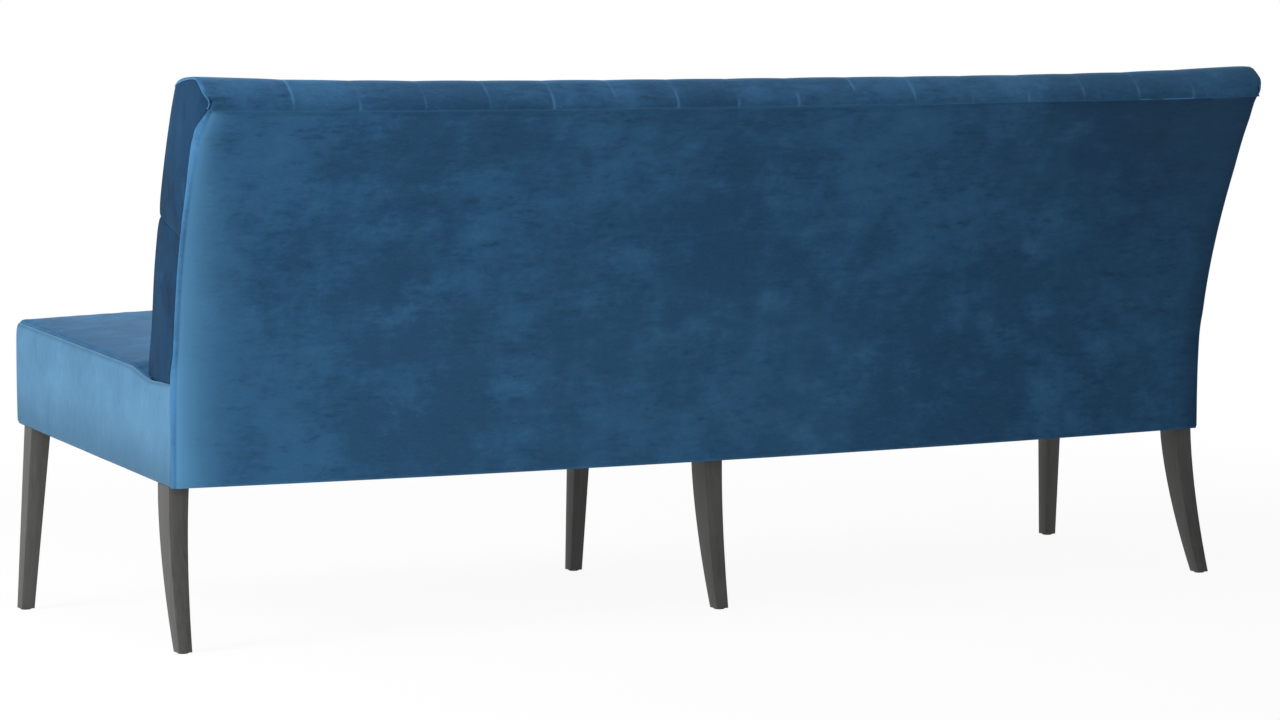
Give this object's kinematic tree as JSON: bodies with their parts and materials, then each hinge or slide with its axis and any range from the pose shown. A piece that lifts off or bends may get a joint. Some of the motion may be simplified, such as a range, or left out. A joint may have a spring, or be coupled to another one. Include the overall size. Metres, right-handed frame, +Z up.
{
  "type": "upholstered banquette bench",
  "caption": "Long velvet dining banquette with a swept, buttoned back, a padded seat that flares to the front, and dark tapered wooden legs.",
  "frame": {"origin": "on the floor, under the middle of the bench's whole box", "axes": "+Z up, +X along the bench towards the left hand of a person seated on it, the seat's front edge on the -Y side and the back on the +Y side"},
  "size_m": [2.1172, 0.7418, 0.9187],
  "materials": {
    "velvet": "short-pile blue velvet with a soft sheen",
    "leg_stain": "black-brown stained beech, satin",
    "glide_plastic": "brown nylon",
    "hardwood": "planed beech, unfinished",
    "plywood": "birch plywood and hardboard, unfinished",
    "foam": "upholstery foam",
    "webbing": "woven elastic webbing",
    "lining": "black non-woven cloth",
    "steel": "zinc-plated steel"
  },
  "bodies": {
    "root": {"front_leg_left": "leg_stain", "front_leg_middle": "leg_stain", "front_leg_right": "leg_stain", "rear_leg_left": "leg_stain", "rear_leg_middle": "leg_stain", "rear_leg_right": "leg_stain", "foot_glides": "glide_plastic", "leg_bolts": "steel", "seat_front_rail": "hardwood", "seat_rear_rail": "hardwood", "seat_end_rail_left": "hardwood", "seat_end_rail_right": "hardwood", "seat_cross_rail_left": "hardwood", "seat_cross_rail_middle": "hardwood", "seat_cross_rail_right": "hardwood", "corner_blocks": "hardwood", "seat_webbing": "webbing", "dust_cover": "lining", "seat_foam": "foam", "seat_top_cover": "velvet", "seat_front_panel": "velvet", "seat_side_panel_left": "velvet", "seat_side_panel_right": "velvet", "back_upright_left": "hardwood", "back_upright_mid_left": "hardwood", "back_upright_middle": "hardwood", "back_upright_mid_right": "hardwood", "back_upright_right": "hardwood", "back_cheek_left": "plywood", "back_cheek_right": "plywood", "back_top_rail": "hardwood", "back_middle_rail": "plywood", "back_bottom_rail": "plywood", "back_webbing": "webbing", "outside_back_board": "plywood", "outside_back_cover": "velvet", "lower_back_foam": "foam", "lower_back_cover": "velvet", "upper_back_foam": "foam", "top_roll_foam": "foam", "upper_back_cover": "velvet", "lower_end_panel_left": "velvet", "lower_end_panel_right": "velvet", "upper_end_panel_left": "velvet", "upper_end_panel_right": "velvet", "buttons_top_row": "velvet", "buttons_middle_row": "velvet", "buttons_bottom_row": "velvet"}
  },
  "joints": []
}
